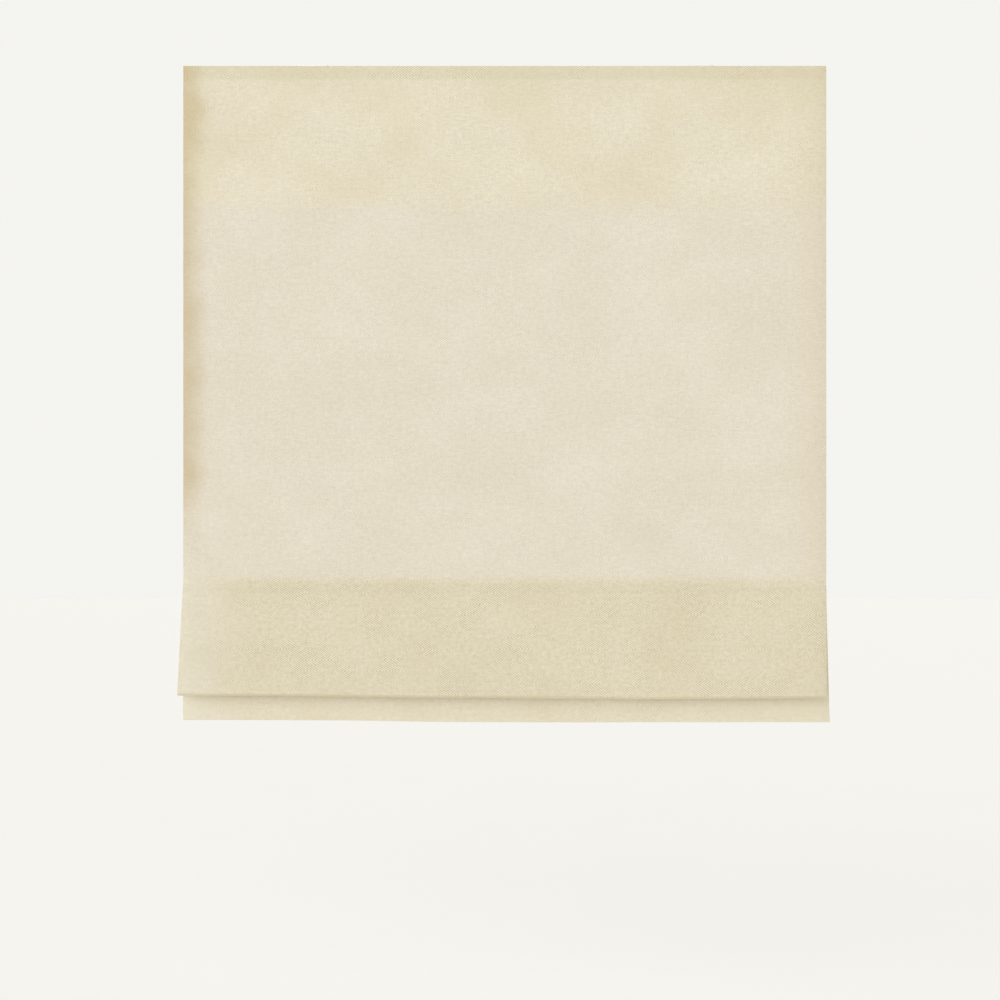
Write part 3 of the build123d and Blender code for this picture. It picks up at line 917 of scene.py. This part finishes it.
def rod_pocket(n, body):
    low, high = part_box(f"rod_pocket_{n}")
    bend = (high.y - low.y) / 2
    flat_half = pocket_height / 2 - bend
    centre = (low.y + bend, rod_z[n] - flat_half)
    seam_y = low.y + 2 * pocket_layer + return_gap
    neck = rod_z[n] + pocket_height / 2 + pocket_neck
    shoulder = (high.y, rod_z[n] + flat_half)
    route = (
        straight((low.y, high.z), (low.y, centre[1]), pocket_step)[:-1]
        + arc(centre, bend, 180, 360, 12)
        + [shoulder]
        + closing(shoulder, (seam_y, neck), 8)
        + [(seam_y, high.z)]
    )
    line = flat_line(high.x, pocket_layer)
    pocket = cloth_piece(f"pocket_{n}", route, 0.0, line, pocket_layer, as_drawn)
    dress(pocket, finishes["sewn_tape"], body)
    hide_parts(f"rod_pocket_{n}")
    lengths(route)[-1]

    first = (low.x + seam_inset, seam_y + thread_radius * 0.4, neck + seam_rise)
    count = int((high.x - low.x - seam_inset - seam_end) / seam_step)
    sewn = [stitch_row("seam", first, (seam_step, 0, 0), count, seam_length, (0, math.pi / 2, 0))]
    for ring_x in cord_x.values():
        for offset in ring_loop_offsets:
            bpy.ops.mesh.primitive_torus_add(
                location=(ring_x + offset, high.y + ring_loop_back, rod_z[n]),
                rotation=(0, math.pi / 2, 0),
                major_radius=ring_loop_radius, minor_radius=ring_thread_radius,
                major_segments=16, minor_segments=6,
            )
            loop = bpy.context.object
            place_in_mesh(loop)
            sewn.append(loop)
    stitches = join(sewn, f"pocket_{n}_stitches")
    smooth(stitches)
    dress(stitches, thread_finish, body)


for n, body in ((1, "upper_rod"), (2, "middle_rod"), (3, "lower_rod")):
    rod_pocket(n, body)


# ---- Touch-and-close tapes between the cloth's top and the rail ----

pile_fill = 0.9  # share of the tape's thickness that its pile fills
pile_height = 0.05 * MM
pile_pitch = 2.5 * MM
pile_step = pile_pitch / 4


def pile_tape(node, material):
    """Rows of pile between a tape's two faces."""
    low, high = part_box(node)
    layer = high.y - low.y
    middle = (low.y + high.y) / 2

    def pile(x, y, z):
        rise = pile_height * math.sin(z * 2 * math.pi / pile_pitch)
        return x, middle + (y - middle) * pile_fill + rise, z

    route = straight((low.y, high.z), (low.y, low.z), pile_step)
    line = flat_line(high.x, layer)
    tape = cloth_piece(f"{node}_pile", route, 0.0, line, layer * pile_fill, pile)
    dress(tape, material, "headrail")
    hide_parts(node)


pile_tape("loop_tape", finishes["sewn_tape"])
pile_tape("hook_tape", hook_finish)


# ---- Wound cords and the balance spring ----


def coil(name, centre, first_x, last_x, radius, wire, turns, points=16):
    """A helix of round wire along X."""
    data = bpy.data.curves.new(name, "CURVE")
    data.dimensions = "3D"
    data.bevel_depth = wire
    data.bevel_resolution = 1
    data.use_fill_caps = True
    spline = data.splines.new("POLY")
    count = round(turns * points)
    spline.points.add(count)
    for i, point in enumerate(spline.points):
        turn = 2 * math.pi * i / points
        x = first_x + (last_x - first_x) * i / count
        y = centre[0] - radius * math.cos(turn)
        point.co = (x, y, centre[1] + radius * math.sin(turn), 1)
    piece = bpy.data.objects.new(name, data)
    bpy.context.collection.objects.link(piece)
    select_only(piece)
    bpy.ops.object.convert(target="MESH")
    piece = bpy.context.object
    face_outwards(piece)
    smooth(piece, 60)
    return piece


shaft_low, shaft_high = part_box("lift_shaft")
shaft_axis = ((shaft_low.y + shaft_high.y) / 2, (shaft_low.z + shaft_high.z) / 2)
wound_cord_radius = 0.6 * MM
wound_radius = 9.12 * MM
wound_length = 8.5 * MM
wound_turns = 7
wound_start = -1.55 * MM  # beside the place where the cord runs down
for place, x in cord_x.items():
    first = x + wound_start
    winding = coil(
        f"winding_{place}", shaft_axis, first, first - wound_length, wound_radius,
        wound_cord_radius, wound_turns,
    )
    dress(winding, finishes["cord"], "lift_shaft")
    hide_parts("cord_windings")

spring_low, spring_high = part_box("balance_spring")
spring_wire = 0.8 * MM
spring_radius = (spring_high.y - spring_low.y) / 2 - spring_wire
spring_turns = 46
spring = coil(
    "spring_coil", shaft_axis, spring_low.x + spring_wire, spring_high.x - spring_wire,
    spring_radius, spring_wire, spring_turns,
)
dress(spring, finishes["spring_steel"], "headrail")
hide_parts("balance_spring")


# ---- Lift cords: one straight run between each pair of rods ----


def cord_run(name, x, y, radius, top, bottom):
    bpy.ops.object.select_all(action="DESELECT")
    bpy.ops.mesh.primitive_cylinder_add(
        vertices=12, radius=radius, depth=top - bottom, location=(x, y, (top + bottom) / 2)
    )
    piece = bpy.context.object
    piece.name = name
    place_in_mesh(piece)
    smooth(piece)
    return piece


for place, x in cord_x.items():
    low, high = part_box(f"lift_cord_{place}")
    radius = (high.x - low.x) / 2
    y = (high.y + low.y) / 2
    marks = (high.z, rod_z[1], rod_z[2], low.z)
    for i, part in enumerate(("upper", "middle", "lower")):
        top, bottom = marks[i], marks[i + 1]
        run = cord_run(f"cord_{place}_{part}", x, y, radius, top, bottom)
        dress(run, finishes["cord"], None)
        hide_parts(f"lift_cord_{place}")
        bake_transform(run)


# ---- Stage, light and camera ----

camera_distance = 3.0
frame_width = 1.555  # what the view takes in at the cloth, side to side
view_x = -7.4 * MM
view_z = -0.677
sensor_width = 36  # in the camera's own millimetres
floor_z = -1.52
floor_radius = 14
floor_glow = 0.43
room_light = 0.46
key_light = 1.36
key_side = (-0.5, -0.84, 0.02)
window_light = 0.9
window_side = (0.3, 0.9, 0.35)
light_edge = 0.35  # a light fades out where its direction's cosine falls to this
backdrop_light = 0.95

pale = Shader(
    "pale_floor", roughness=0.95,
    emission_color=(0.96, 0.95, 0.92, 1), emission_strength=floor_glow,
)
grain = pale.noise(pale.place(), 3, 4.0)
pale.colour(pale.mix(grain, (0.59, 0.58, 0.56), (0.61, 0.60, 0.58)))

bpy.ops.object.select_all(action="DESELECT")
bpy.ops.mesh.primitive_circle_add(
    vertices=96, radius=floor_radius, fill_type="NGON", location=(0, 0, floor_z)
)
floor = bpy.context.object
floor.name = "floor"
place_in_mesh(floor)
floor.data.materials.append(pale.material)
floor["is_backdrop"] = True

world = bpy.data.worlds.new("studio")
world.use_nodes = True
studio = world.node_tree
view = studio.nodes.new("ShaderNodeTexCoord").outputs["Generated"]


def lobe(direction, strength):
    """Soft light from one side of the room: its strength in each direction."""
    across = studio.nodes.new("ShaderNodeVectorMath")
    across.operation = "DOT_PRODUCT"
    studio.links.new(view, across.inputs[0])
    across.inputs[1].default_value = Vector(direction).normalized()
    fade = studio.nodes.new("ShaderNodeMapRange")
    fade.interpolation_type = "SMOOTHSTEP"
    studio.links.new(across.outputs["Value"], fade.inputs["Value"])
    fade.inputs["From Min"].default_value = light_edge
    fade.inputs["To Max"].default_value = strength
    return fade.outputs["Result"]


both = studio.nodes.new("ShaderNodeMath")
studio.links.new(lobe(key_side, key_light), both.inputs[0])
studio.links.new(lobe(window_side, window_light), both.inputs[1])
total = studio.nodes.new("ShaderNodeMath")
studio.links.new(both.outputs[0], total.inputs[0])
total.inputs[1].default_value = room_light

sky = studio.nodes["Background"]
sky.inputs["Color"].default_value = (0.965, 0.965, 0.932, 1)
studio.links.new(total.outputs[0], sky.inputs["Strength"])
backdrop = studio.nodes.new("ShaderNodeBackground")
backdrop.inputs["Color"].default_value = (0.955, 0.95, 0.915, 1)
backdrop.inputs["Strength"].default_value = backdrop_light
seen = studio.nodes.new("ShaderNodeLightPath")
either = studio.nodes.new("ShaderNodeMixShader")
studio.links.new(seen.outputs["Is Camera Ray"], either.inputs[0])
studio.links.new(sky.outputs[0], either.inputs[1])
studio.links.new(backdrop.outputs[0], either.inputs[2])
studio.links.new(either.outputs[0], studio.nodes["World Output"].inputs["Surface"])
bpy.context.scene.world = world
bpy.context.scene.view_settings.view_transform = "Standard"

camera = bpy.data.objects.new("camera", bpy.data.cameras.new("camera"))
camera.location = (view_x, face_front - camera_distance, view_z)
camera.rotation_euler = (math.pi / 2, 0, 0)
camera.data.sensor_width = sensor_width
camera.data.lens = sensor_width * camera_distance / frame_width
bpy.context.collection.objects.link(camera)
bpy.context.scene.camera = camera

low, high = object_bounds()
